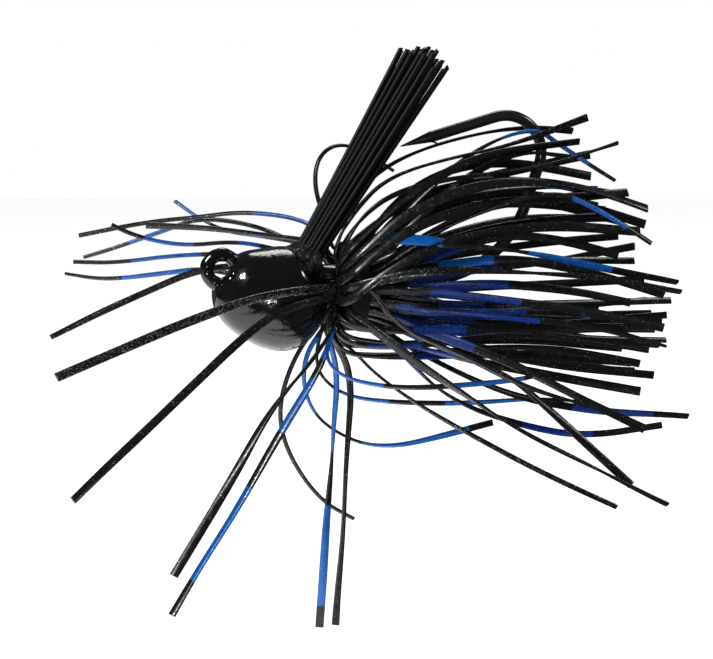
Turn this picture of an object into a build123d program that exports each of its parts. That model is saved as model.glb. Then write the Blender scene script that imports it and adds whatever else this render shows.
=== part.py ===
from build123d import *

import os
from math import cos, radians, sin, sqrt, tan

# A skirted weedless bass jig: a lead head cast round a jig hook, a fibre weed guard glued
# into the head, and a silicone skirt gripped on the neck by a rubber collar.
# Millimetres.  The origin is the centre of the line eye, +X runs towards the tail,
# +Z is the side of the hook point and the hook lies in the XZ plane.

# Hook
WIRE_RADIUS = 0.62
EYE_RADIUS = 1.68  # to the middle of the wire
EYE_BORE_RADIUS = 1.12
STEM_START = (1.62, -1.0)
STEM_FOOT_X = 4.3
STEM_BEND_RADIUS = 3.0
SHANK_Z = -1.7
BEND_START_X = 22.8
BEND_RADIUS = 12.2
BEND_TURN = 71.0
RISE_LENGTH = 4.8
CROWN_RADIUS = 4.1
CROWN_TURN = 125.0
SPEAR_LENGTH = 7.6
POINT_LENGTH = 3.6
POINT_TIP_RADIUS = 0.06
BARB_FROM_POINT = 4.6
BARB_LENGTH = 2.0
BARB_HEIGHT = 0.72
BARB_THICKNESS = 0.5

# Head: x, centre z, half width and half height of each cross-section
HEAD_SECTIONS = [
    (-0.9, -2.5, 1.3, 1.5),
    (0.2, -3.1, 2.6, 2.7),
    (2.0, -2.85, 3.9, 4.55),
    (4.6, -3.25, 4.8, 5.5),
    (7.4, -3.35, 5.1, 5.75),
    (9.6, -3.55, 4.5, 4.5),
    (11.3, -2.5, 3.0, 3.1),
]
HEAD_EDGE_RADIUS = 0.8
CAST_CLEARANCE = 0.01
LINE_CLEARANCE_RADIUS = 1.35  # open way for the line, through the head beside the eye
LINE_CLEARANCE_LENGTH = 12.0

# Neck and bait keeper: x and radius along the shank
NECK_RADIUS = 2.05
GROOVE_RADIUS = 1.8
NECK_PROFILE = [
    (10.6, 0.0),
    (10.6, NECK_RADIUS),
    (13.3, NECK_RADIUS),
    (13.3, GROOVE_RADIUS),
    (16.1, GROOVE_RADIUS),
    (16.1, NECK_RADIUS),
    (16.8, NECK_RADIUS),
    (17.5, 1.2),
    (18.6, 1.2),
    (18.7, 1.95),
    (21.0, 0.95),
    (21.0, 0.0),
]

# Weed guard
GUARD_ANGLE = 58.6
GUARD_PIVOT = (10.4, 0.0, 2.7)
GUARD_LENGTH = 22.6
SOCKET_RADIUS = 1.65
SOCKET_DEPTH = 3.3
PLUG_RADIUS = 1.6
BRISTLE_RADIUS = 0.23
BRISTLE_ROWS = (0.3, 0.78, 1.24)
BRISTLE_PITCH = 0.47
BRISTLE_START_RADIUS = 1.82
BUNDLE_RADIUS = 1.5
GUARD_SPREAD = 1.75  # tip spacing over root spacing, fore and aft
GUARD_FAN = 1.3  # tip spacing over root spacing, across
GUARD_END_SLANT = 0.35  # the rear fibres are longer by this share of their offset
GUARD_V_OFFSET = 1.3  # sideways move of each half's tips
GLUE_RADIUS = 2.25
GLUE_TOP = -1.3
GLUE_BOTTOM = -2.8

# Skirt
COLLAR_X = 14.7
COLLAR_LENGTH = 2.0
COLLAR_INNER_RADIUS = 4.4
COLLAR_OUTER_RADIUS = 5.1
COLLAR_FLAT = 3.05  # the band runs straight over the sector with no strands
COLLAR_FLAT_ANGLE = 9.4
STRAND_RADIUS = 0.33
ROOT_RADII = (2.45, 3.15, 3.85)
ROOTS_PER_LAYER = 14
FIRST_ANGLE = 42.0  # the guard keeps the sector above the neck free
ROOT_SECTOR = 288.0
TURN_X = (12.1, 12.5, 12.95)  # how far forward each layer runs before it turns
REAR_EXIT = 1.8
FOLD_RADII = (7.8, 7.05, 6.3)
FOLD_BACK_X = 18.4
TIP_RISE = 1.6  # lift of a trailing strand's tip above its plain arc

# Front halves that stand out forward, by (layer, slot): points after the collar
FLARED_FRONTS = {
    (2, 2): [
        (10.8, -5.3, -1.7),
        (4.5, -6.6, -2.2),
        (-1.0, -7.4, -3.4),
        (-10.5, -9.4, -6.6),
        (-20.4, -12.0, -10.2),
    ],
    (1, 3): [
        (11.0, -5.7, -2.8),
        (7.5, -6.9, -3.2),
        (3.0, -7.7, -4.8),
        (-8.0, -11.0, -14.0),
        (-19.0, -14.0, -23.3),
    ],
    (2, 4): [
        (11.9, -5.4, -5.6),
        (9.0, -6.6, -9.3),
        (4.4, -8.0, -14.0),
        (-1.0, -10.0, -22.3),
        (-7.8, -13.0, -32.0),
    ],
    (1, 4): [
        (11.9, -4.4, -4.9),
        (10.2, -5.6, -9.2),
        (12.0, -6.4, -11.5),
        (17.0, -6.9, -12.6),
        (23.0, -7.4, -12.8),
        (31.0, -8.0, -12.2),
        (35.0, -8.4, -11.2),
    ],
    (1, 5): [
        (11.9, -3.3, -6.8),
        (10.0, -4.4, -10.8),
        (6.5, -5.6, -16.0),
        (2.2, -6.8, -22.6),
        (-7.4, -9.5, -36.8),
    ],
    (1, 6): [
        (12.1, -1.2, -7.6),
        (14.2, -2.0, -11.4),
        (13.7, -2.5, -20.0),
        (12.0, -4.0, -39.3),
    ],
    (1, 7): [
        (12.0, 0.7, -7.4),
        (13.4, 0.9, -12.0),
        (12.9, 1.8, -18.5),
        (12.6, 2.5, -25.0),
        (11.8, 4.0, -40.7),
    ],
    (1, 8): [
        (11.9, 3.4, -6.2),
        (9.2, 5.2, -10.3),
        (7.6, 6.8, -16.5),
        (9.0, 8.0, -21.8),
        (12.8, 9.2, -27.0),
        (17.0, 10.0, -29.4),
    ],
    (2, 7): [
        (11.9, 2.0, -6.8),
        (9.8, 3.0, -10.2),
        (10.2, 4.2, -14.8),
        (13.0, 5.6, -18.6),
        (18.9, 6.6, -21.4),
        (27.9, 7.6, -19.7),
        (32.6, 8.2, -18.7),
    ],
    (2, 8): [
        (12.2, 4.2, -6.6),
        (11.4, 5.2, -11.5),
        (14.2, 5.4, -14.6),
        (19.0, 5.6, -15.8),
        (26.0, 6.0, -16.2),
        (37.0, 7.0, -16.0),
        (42.3, 7.4, -16.5),
    ],
    (1, 10): [
        (11.2, 6.0, -3.3),
        (6.0, 8.6, -2.1),
        (0.1, 11.5, -0.9),
        (-4.0, 13.0, -1.6),
        (-10.0, 15.2, -2.4),
        (-14.6, 17.0, -1.7),
    ],
    (2, 10): [
        (11.5, 6.0, -2.0),
        (7.5, 7.9, -0.4),
        (2.5, 9.4, 0.9),
        (-2.5, 11.6, 0.6),
        (-9.0, 13.6, -0.4),
        (-14.0, 15.0, -0.2),
    ],
    (1, 11): [(9.5, 6.4, -0.9), (0.5, 7.5, 0.0), (-8.5, 8.6, -3.8), (-17.6, 9.0, -8.0)],
    (2, 11): [
        (11.7, 6.1, 0.3),
        (7.8, 8.2, 1.4),
        (3.5, 9.4, 2.2),
        (-2.1, 11.0, 1.6),
        (-7.2, 12.3, 2.7),
        (-10.0, 13.0, 4.0),
    ],
    (0, 12): [
        (11.5, 6.6, 0.9),
        (7.0, 11.0, 3.6),
        (0.6, 14.8, 4.6),
        (-3.6, 16.6, 2.8),
        (-8.1, 18.6, 1.0),
        (-12.0, 20.0, -0.2),
    ],
    (1, 12): [
        (11.8, 5.4, 2.0),
        (6.8, 10.5, 2.6),
        (3.4, 14.0, 2.9),
        (0.5, 16.5, 4.3),
        (-1.8, 18.5, 6.0),
    ],
    (2, 12): [
        (12.2, 4.7, 3.4),
        (10.2, 6.8, 4.9),
        (4.2, 10.0, 5.5),
        (-0.5, 12.0, 4.8),
        (-5.7, 14.0, 4.1),
        (-13.2, 16.0, 2.6),
    ],
    (1, 13): [(11.7, 3.4, 2.3), (9.0, 5.0, 2.9), (1.0, 6.4, 3.9), (-7.0, 8.0, 4.3)],
    (2, 13): [
        (12.6, 3.3, 4.2),
        (11.4, 4.7, 8.2),
        (11.9, 5.6, 11.6),
        (14.2, 6.4, 13.2),
        (17.5, 7.0, 12.4),
        (21.0, 7.4, 10.0),
    ],
}

# Front halves that fold back over the collar along a route of their own
FOLDED_FRONTS = {
    (0, 0): [
        (14.6, -2.4, 6.6),
        (18.0, -2.6, 9.9),
        (25.0, -3.0, 12.2),
        (33.0, -3.0, 13.6),
        (40.6, -3.2, 16.4),
    ],
    (1, 0): [
        (14.8, -4.4, 5.9),
        (18.6, -4.8, 8.6),
        (26.0, -5.3, 10.4),
        (34.5, -5.6, 10.9),
        (43.3, -6.2, 13.8),
    ],
    (2, 0): [
        (14.8, -6.2, 3.6),
        (19.3, -8.6, 3.8),
        (25.9, -9.6, 3.0),
        (34.3, -10.4, 1.8),
        (48.8, -11.4, -1.4),
    ],
    (0, 1): [
        (15.0, -6.6, 4.4),
        (19.4, -6.2, 8.0),
        (25.6, -4.8, 11.6),
        (32.5, -4.3, 13.2),
        (39.4, -4.4, 13.8),
    ],
    (1, 1): [
        (15.0, -7.6, 3.0),
        (19.2, -8.0, 6.6),
        (27.0, -7.8, 9.6),
        (36.5, -7.3, 9.9),
        (46.6, -6.6, 6.4),
    ],
    (2, 1): [
        (14.8, -8.0, -1.2),
        (17.9, -9.4, -6.0),
        (25.3, -10.4, -9.2),
        (32.4, -11.0, -12.8),
        (38.7, -11.4, -14.8),
    ],
    (1, 2): [
        (15.4, -9.0, -0.8),
        (20.0, -10.4, 0.4),
        (30.0, -11.6, 0.4),
        (40.0, -12.0, -0.6),
        (48.9, -12.6, -2.2),
    ],
    (2, 3): [(16.1, -7.6, -6.4), (20.9, -8.4, -10.6), (32.9, -9.4, -18.4), (48.1, -10.4, -26.0)],
    (2, 6): [
        (14.4, -1.0, -9.0),
        (17.6, -1.6, -12.6),
        (27.0, -2.2, -18.4),
        (34.2, -2.6, -22.4),
        (44.2, -3.0, -27.2),
    ],
    (0, 13): [
        (14.8, 4.0, 6.2),
        (18.0, 3.2, 10.2),
        (25.0, 2.9, 13.4),
        (33.0, 2.8, 15.0),
        (40.5, 3.2, 14.4),
    ],
    (0, 2): [
        (15.5, -8.2, 2.2),
        (20.5, -8.2, 5.4),
        (28.0, -7.0, 7.4),
        (36.0, -6.4, 7.6),
        (44.5, -6.0, 8.2),
    ],
    (0, 3): [
        (15.6, -9.0, -0.6),
        (21.0, -9.6, 2.6),
        (29.0, -8.8, 4.6),
        (37.0, -8.0, 4.9),
        (45.5, -7.6, 4.0),
    ],
    (0, 10): [
        (15.5, 8.8, -1.6),
        (21.0, 8.8, 2.6),
        (29.0, 7.8, 5.6),
        (38.0, 7.2, 6.6),
        (44.8, 6.8, 7.4),
    ],
    (0, 11): [
        (15.5, 8.0, 1.6),
        (20.5, 7.4, 5.2),
        (28.5, 6.4, 8.6),
        (37.0, 5.6, 10.4),
        (43.0, 5.2, 11.6),
    ],
}

# Rear halves along a route of their own
ROUTED_REARS = {
    (0, 0): [
        (20.0, -2.4, 6.0),
        (27.0, -2.9, 12.7),
        (34.6, -2.4, 15.4),
        (37.5, -2.9, 13.4),
        (43.6, -4.0, 9.4),
    ],
    (1, 0): [(20.0, -3.4, 4.4), (27.0, -3.8, 10.4), (33.0, -3.7, 12.8), (38.1, -4.2, 12.2)],
    (2, 0): [
        (21.0, -5.4, 3.6),
        (29.0, -7.4, 7.0),
        (35.6, -8.6, 8.8),
        (40.0, -8.8, 7.0),
        (46.3, -9.4, 2.8),
    ],
    (1, 1): [(20.5, -4.4, 2.9), (29.0, -5.0, 7.2), (38.0, -5.2, 7.4), (46.6, -5.6, 4.6)],
    (2, 1): [(21.0, -6.4, 0.4), (31.0, -8.6, 1.6), (40.0, -9.4, -0.4), (47.7, -9.8, -2.8)],
    (1, 2): [(20.5, -4.9, 0.4), (29.0, -6.2, 3.9), (36.0, -6.8, 3.4), (43.1, -7.4, 1.4)],
    (2, 2): [(21.0, -7.0, -2.2), (30.0, -9.8, -3.0), (38.0, -11.2, -4.2), (47.0, -12.4, -6.2)],
    (1, 3): [(20.5, -4.9, -2.0), (29.0, -6.8, -1.4), (37.0, -7.8, -2.2), (44.2, -8.4, -3.8)],
    (2, 3): [(21.0, -6.6, -4.4), (30.0, -9.0, -5.0), (39.0, -10.0, -6.0), (47.8, -10.4, -8.4)],
    (1, 4): [(20.5, -4.6, -4.6), (29.0, -6.4, -4.8), (37.0, -7.0, -4.8), (44.9, -7.0, -5.8)],
    (2, 4): [(20.5, -5.6, -6.2), (27.4, -7.6, -8.6), (35.5, -9.0, -12.6), (45.4, -10.6, -17.6)],
    (2, 5): [(20.5, -3.6, -7.4), (28.5, -5.0, -10.4), (33.5, -5.8, -13.6), (44.7, -7.4, -24.2)],
    (2, 6): [
        (20.0, -1.2, -9.6),
        (25.3, -3.0, -15.0),
        (33.0, -4.2, -17.6),
        (40.0, -4.8, -19.0),
        (48.7, -5.4, -17.8),
    ],
    (2, 7): [(20.0, 1.2, -8.4), (29.0, 1.4, -13.4), (39.3, 1.8, -16.6), (53.8, 2.4, -17.9)],
    (2, 8): [(20.5, 3.8, -7.2), (30.0, 5.4, -10.2), (40.0, 7.0, -12.4), (51.3, 8.2, -13.8)],
    (1, 9): [(20.5, 3.4, -4.6), (29.0, 4.4, -5.4), (37.0, 4.8, -5.6), (44.0, 5.2, -5.8)],
    (2, 9): [(20.0, 4.8, -5.8), (27.0, 4.9, -9.0), (37.0, 5.0, -11.2), (48.3, 5.8, -12.8)],
    (1, 10): [(20.5, 4.9, -3.2), (29.0, 6.8, -4.4), (43.2, 8.2, -7.0)],
    (2, 10): [(21.0, 6.2, -3.4), (31.0, 8.6, -6.4), (41.0, 9.2, -9.0), (51.0, 9.4, -11.0)],
    (2, 11): [(21.0, 6.2, -0.6), (31.0, 9.0, 0.6), (40.0, 10.4, 1.4), (47.8, 11.2, 1.8)],
    (2, 12): [(19.5, 5.6, 3.4), (26.0, 6.8, 6.4), (36.0, 8.2, 6.6), (47.5, 9.0, 3.6)],
    (1, 13): [(18.4, 3.6, 5.2), (23.5, 3.8, 9.4), (32.0, 4.0, 11.4), (42.9, 4.4, 9.2)],
    (2, 13): [(18.6, 4.6, 4.6), (24.0, 5.2, 8.0), (34.0, 6.0, 9.2), (46.7, 6.8, 6.8)],
    (0, 1): [(19.0, -2.8, 3.2), (24.0, -3.2, 7.0), (32.0, -3.6, 8.8), (41.5, -4.0, 8.6)],
    (0, 12): [(18.6, 3.6, 2.4), (24.0, 4.2, 6.0), (33.0, 5.0, 7.8), (44.0, 5.8, 6.0)],
    (0, 13): [(18.4, 2.6, 3.8), (23.0, 2.9, 7.4), (30.0, 3.2, 9.0), (41.0, 3.6, 7.8)],
    (1, 12): [(19.0, 5.0, 2.6), (25.0, 6.0, 5.4), (34.0, 7.2, 6.4), (45.5, 8.0, 5.0)],
    (0, 2): [(19.5, -3.0, 0.6), (26.0, -3.6, 3.6), (35.0, -4.0, 5.2), (44.5, -4.6, 5.4)],
    (0, 3): [(19.5, -3.2, -1.6), (27.0, -4.2, -0.2), (36.0, -4.6, 0.8), (45.5, -5.2, 0.6)],
    (0, 11): [(19.5, 3.0, 0.2), (26.0, 3.8, 3.2), (35.0, 4.6, 4.8), (45.0, 5.2, 4.4)],
}


os.makedirs("parts", exist_ok=True)


def save(solid, name):
    solid.label = name
    export_step(solid, f"parts/{name}.step")


def around_neck(x, radius, angle):
    """A point beside the neck: angle 0 is the hook point's side, 90 the -Y side."""
    return (x, -radius * sin(radians(angle)), SHANK_Z + radius * cos(radians(angle)))


def draw_hook_line():
    """Centre line of the wire, from the eye to where the point's taper begins."""
    with BuildLine(Plane.XZ) as line:
        stem = [STEM_START, (STEM_FOOT_X, SHANK_Z), (BEND_START_X, SHANK_Z)]
        FilletPolyline(stem, radius=STEM_BEND_RADIUS)
        bend = JernArc((BEND_START_X, SHANK_Z), (1, 0), BEND_RADIUS, BEND_TURN)
        rise = PolarLine(bend @ 1, RISE_LENGTH, direction=bend % 1)
        crown = JernArc(rise @ 1, rise % 1, CROWN_RADIUS, CROWN_TURN)
        PolarLine(crown @ 1, SPEAR_LENGTH, direction=crown % 1)
    return line.line


def sweep_round(line, radius):
    with BuildPart() as tube:
        with BuildSketch(Plane(origin=line @ 0, z_dir=line % 0)):
            Circle(radius)
        sweep(path=line)
    return tube.part


hook_line = draw_hook_line()
point_plane = Plane(origin=hook_line @ 1, z_dir=hook_line % 1)
spear = hook_line % 1
barb_root = hook_line @ 1 - spear * (BARB_FROM_POINT - POINT_LENGTH)

with BuildPart() as hook:
    add(sweep_round(hook_line, WIRE_RADIUS))
    with Locations(Plane.XZ):
        Torus(EYE_RADIUS, WIRE_RADIUS)
        Cylinder(EYE_BORE_RADIUS, 4 * WIRE_RADIUS, mode=Mode.SUBTRACT)
    with BuildSketch(point_plane):
        Circle(WIRE_RADIUS)
    with BuildSketch(point_plane.offset(POINT_LENGTH)):
        Circle(POINT_TIP_RADIUS)
    loft()
    with BuildSketch(Plane(origin=barb_root, x_dir=spear, z_dir=(0, 1, 0))):
        with BuildLine():
            Polyline(
                (BARB_LENGTH, 0),
                (0, -WIRE_RADIUS - BARB_HEIGHT),
                (0.5 * BARB_LENGTH, -0.5 * WIRE_RADIUS),
                (0.5 * BARB_LENGTH, 0),
                close=True,
            )
        make_face()
    extrude(amount=BARB_THICKNESS / 2, both=True)
save(hook.part, "jig_hook")

guard_axis = Vector(cos(radians(GUARD_ANGLE)), 0, sin(radians(GUARD_ANGLE)))
guard_plane = Plane(origin=GUARD_PIVOT, x_dir=(0, 1, 0), z_dir=guard_axis)

with BuildPart() as head:
    for x, z, half_width, half_height in HEAD_SECTIONS:
        with BuildSketch(Plane.YZ.offset(x)):
            with Locations((0, z)):
                Ellipse(half_width, half_height)
    loft()
    fillet(head.faces().sort_by(Axis.X)[0].edges(), HEAD_EDGE_RADIUS)
    fillet(head.faces().sort_by(Axis.X)[-1].edges(), HEAD_EDGE_RADIUS)
    with BuildSketch(Plane.XZ):
        with BuildLine():
            Polyline([(x, SHANK_Z + radius) for x, radius in NECK_PROFILE], close=True)
        make_face()
    revolve(axis=Axis((0, 0, SHANK_Z), (1, 0, 0)))
    with BuildSketch(guard_plane.offset(-SOCKET_DEPTH)):
        Circle(SOCKET_RADIUS)
    extrude(amount=2 * SOCKET_DEPTH, mode=Mode.SUBTRACT)
    add(sweep_round(hook_line, WIRE_RADIUS + CAST_CLEARANCE), mode=Mode.SUBTRACT)
    with Locations(Plane.XZ):
        Torus(EYE_RADIUS, WIRE_RADIUS + CAST_CLEARANCE, mode=Mode.SUBTRACT)
        Cylinder(EYE_RADIUS, 4 * WIRE_RADIUS, mode=Mode.SUBTRACT)
        Cylinder(LINE_CLEARANCE_RADIUS, LINE_CLEARANCE_LENGTH, mode=Mode.SUBTRACT)
save(head.part.solids().sort_by(SortBy.VOLUME)[-1], "lead_head")

with BuildPart() as plug:
    with BuildSketch(guard_plane.offset(-SOCKET_DEPTH)):
        Circle(PLUG_RADIUS)
    extrude(amount=SOCKET_DEPTH)
    with Locations(guard_plane):
        Sphere(PLUG_RADIUS)
save(plug.part, "guard_plug")

with BuildPart() as glue:
    with BuildSketch(guard_plane.offset(GLUE_BOTTOM)):
        Circle(GLUE_RADIUS)
    extrude(amount=GLUE_TOP - GLUE_BOTTOM)
    fillet(glue.edges().group_by(SortBy.DISTANCE)[0], 0.3)
    add(plug.part, mode=Mode.SUBTRACT)
    add(head.part, mode=Mode.SUBTRACT)
save(glue.part.solids().sort_by(SortBy.VOLUME)[-1], "guard_glue")


def bristle_spots(side):
    """Root positions of one half of the guard, as (sideways, fore-and-aft)."""
    spots = []
    for row, sideways in enumerate(BRISTLE_ROWS):
        reach = sqrt(BUNDLE_RADIUS**2 - sideways**2)
        half = int(reach / BRISTLE_PITCH + 0.5 * (row % 2))
        shift = 0.5 * BRISTLE_PITCH * (row % 2)
        for step in range(-half, half + 1 - row % 2):
            spots.append((side * sideways, step * BRISTLE_PITCH + shift))
    return spots


def bristle(sideways, along, side, number):
    """One straight fibre, square cut, that starts just outside the ball of the plug."""
    start = sqrt(max(BRISTLE_START_RADIUS**2 - sideways**2 - along**2, 0.3))
    uneven = 0.55 * sin(2.3 * number) + 0.35 * sin(5.1 * number)
    length = GUARD_LENGTH - GUARD_END_SLANT * along + uneven
    tip = (sideways * GUARD_FAN + side * GUARD_V_OFFSET, along * GUARD_SPREAD, start + length)
    root = guard_plane.from_local_coords((sideways, along, start))
    end = guard_plane.from_local_coords(tip)
    with BuildPart() as fibre:
        with BuildSketch(Plane(origin=root, z_dir=end - root)):
            Circle(BRISTLE_RADIUS)
        extrude(amount=(end - root).length)
    return fibre.part


for side, name in ((-1, "guard_bristles_left"), (1, "guard_bristles_right")):
    fibres = [bristle(*spot, side, n) for n, spot in enumerate(bristle_spots(side))]
    save(Compound(children=fibres), name)

def band_outline(radius, flat):
    """A circle cut off flat at a height above its centre."""
    with BuildSketch() as outline:
        Circle(radius)
        with Locations((0, flat)):
            Rectangle(4 * radius, radius, align=(Align.CENTER, Align.MIN), mode=Mode.SUBTRACT)
    return outline.sketch


collar_plane = Plane(
    origin=(COLLAR_X - COLLAR_LENGTH / 2, 0, SHANK_Z),
    x_dir=(0, cos(radians(COLLAR_FLAT_ANGLE)), sin(radians(COLLAR_FLAT_ANGLE))),
    z_dir=(1, 0, 0),
)
band = COLLAR_OUTER_RADIUS - COLLAR_INNER_RADIUS

with BuildPart() as collar:
    with BuildSketch(collar_plane):
        add(band_outline(COLLAR_OUTER_RADIUS, COLLAR_FLAT + band))
        add(band_outline(COLLAR_INNER_RADIUS, COLLAR_FLAT), mode=Mode.SUBTRACT)
    extrude(amount=COLLAR_LENGTH)
save(collar.part, "skirt_collar")


def slot_angle(layer, slot):
    return FIRST_ANGLE + ROOT_SECTOR / ROOTS_PER_LAYER * (slot + layer / len(ROOT_RADII))


def trailing_route(layer, slot, spread, length):
    """A strand that trails back from the collar, spread away from the neck's axis."""
    angle = slot_angle(layer, slot)
    route = []
    for share, lift in ((0.2, 0.4), (0.55, 0.9), (1.0, 0.0)):
        reach = share * length
        radius = 1.5 + ROOT_RADII[layer] + reach * sin(radians(spread))
        x = COLLAR_X + 2.0 + reach * cos(radians(spread))
        _, y, z = around_neck(x, radius, angle)
        wave = lift * sin(1.7 * (slot + 5 * layer + spread))
        route.append((x, y, z + wave + TIP_RISE * share**2))
    return route


def front_half(layer, slot):
    angle = slot_angle(layer, slot)
    turn = [around_neck(TURN_X[layer], ROOT_RADII[layer], angle)]
    if (layer, slot) in FLARED_FRONTS:
        return turn + FLARED_FRONTS[layer, slot]
    turn.append(around_neck(TURN_X[layer], FOLD_RADII[layer], angle))
    if (layer, slot) in FOLDED_FRONTS:
        return turn + FOLDED_FRONTS[layer, slot]
    turn.append(around_neck(FOLD_BACK_X, FOLD_RADII[layer] + 0.7, angle))
    return turn + trailing_route(layer, slot, 14.0 + 2.0 * layer, 31.0)[1:]


def rear_half(layer, slot):
    start = around_neck(COLLAR_X + REAR_EXIT, ROOT_RADII[layer], slot_angle(layer, slot))
    if (layer, slot) in ROUTED_REARS:
        return [start] + ROUTED_REARS[layer, slot]
    return [start] + trailing_route(layer, slot, 5.0 + 3.5 * layer, 33.0)


def corner_radii(points):
    """The largest arc that each corner's two runs allow."""
    radii = []
    for before, corner, after in zip(points, points[1:], points[2:]):
        arriving = Vector(corner) - Vector(before)
        leaving = Vector(after) - Vector(corner)
        half_turn = radians(arriving.get_angle(leaving)) / 2
        radii.append(0.45 * min(arriving.length, leaving.length) / tan(half_turn))
    return radii


def strand_line(layer, slot):
    points = front_half(layer, slot)[::-1] + rear_half(layer, slot)
    with BuildLine() as route:
        FilletPolyline(points, radius=corner_radii(points))
    return route.line


for layer in range(len(ROOT_RADII)):
    for slot in range(ROOTS_PER_LAYER):
        number = layer * ROOTS_PER_LAYER + slot + 1
        strand = sweep_round(strand_line(layer, slot), STRAND_RADIUS)
        save(strand, f"skirt_strand_{number:02d}")
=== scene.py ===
import math
import random

import bpy
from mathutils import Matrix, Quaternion, Vector


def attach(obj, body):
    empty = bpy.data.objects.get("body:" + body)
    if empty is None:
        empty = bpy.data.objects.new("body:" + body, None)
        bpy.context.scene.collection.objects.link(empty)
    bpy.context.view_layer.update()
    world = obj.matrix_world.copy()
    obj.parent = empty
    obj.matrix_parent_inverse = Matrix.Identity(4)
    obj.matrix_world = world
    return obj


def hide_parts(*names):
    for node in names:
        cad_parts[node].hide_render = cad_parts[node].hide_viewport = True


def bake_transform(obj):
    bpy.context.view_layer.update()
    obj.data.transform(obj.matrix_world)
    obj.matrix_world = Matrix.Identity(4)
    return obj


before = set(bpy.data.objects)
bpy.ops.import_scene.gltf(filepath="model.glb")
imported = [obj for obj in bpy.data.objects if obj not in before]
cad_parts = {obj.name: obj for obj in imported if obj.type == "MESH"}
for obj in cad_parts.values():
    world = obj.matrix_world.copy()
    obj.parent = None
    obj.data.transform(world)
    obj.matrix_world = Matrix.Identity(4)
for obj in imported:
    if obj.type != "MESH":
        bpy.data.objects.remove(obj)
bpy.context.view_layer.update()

# Lengths in this file are millimetres, times MM where they meet Blender's metres.
MM = 0.001

# Neck and collar, and where the strands leave them
SHANK_Z = -1.7
COLLAR_X = 14.7
ROOT_RADII = (2.45, 3.15, 3.85)
ROOTS_PER_LAYER = 14
FIRST_ANGLE = 42.0
ROOT_SECTOR = 288.0
TURN_X = (12.1, 12.5, 12.95)
REAR_EXIT = 1.8
FOLD_RADII = (7.8, 7.05, 6.3)
FOLD_BACK_X = 18.4
FOLD_LIFT = 0.7
FRONT_TRAIL = 31.0  # length of a front half that trails by the plain rule
REAR_TRAIL = 33.0
TRAIL_START = (2.0, 1.5)  # a trailing strand's first step, along the neck and away from it
TIP_RISE = 1.6  # lift of a trailing strand's tip above its plain arc

# Weed guard: its foot in the head, and its fibres
GUARD_ANGLE = 58.6
GUARD_PIVOT = (10.4, 0.0, 2.7)
GUARD_LENGTH = 22.6
FIBRE_RADIUS = 0.25
FIBRE_ROWS = (0.3, 0.78, 1.24)
FIBRE_PITCH = 0.47
FIBRE_SIDES = 10
FIBRE_STEPS = 14
FIBRE_BOW = 0.6
BUNDLE_RADIUS = 1.5
GUARD_SPREAD = 1.75  # tip spacing over root spacing, fore and aft
GUARD_FAN = 1.3  # tip spacing over root spacing, across
GUARD_V_OFFSET = 1.3  # sideways move of each half's tips
GUARD_END_SLANT = 0.35  # the rear fibres are longer by this share of their offset
PLUG_DOME_RADIUS = 1.82
SOCKET_DEPTH = 3.3
# Set glue: (radius, height along the guard) from its foot up its side and in over the top
GLUE_PROFILE = (
    (2.35, -2.9),
    (2.3, -2.1),
    (2.15, -1.75),
    (1.95, -1.5),
    (1.75, -1.2),
    (1.62, -0.8),
    (1.5, -0.65),
    (1.2, -0.75),
    (0.6, -0.85),
)
GLUE_SIDES = 72

# Line eye and the paint on it
EYE_RADIUS = 1.68
PAINT_AROUND = 72
PAINT_ACROSS = 20
PAINT_WEB_ANGLE = math.radians(52)  # how far round from the front the web to the nose is

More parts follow.
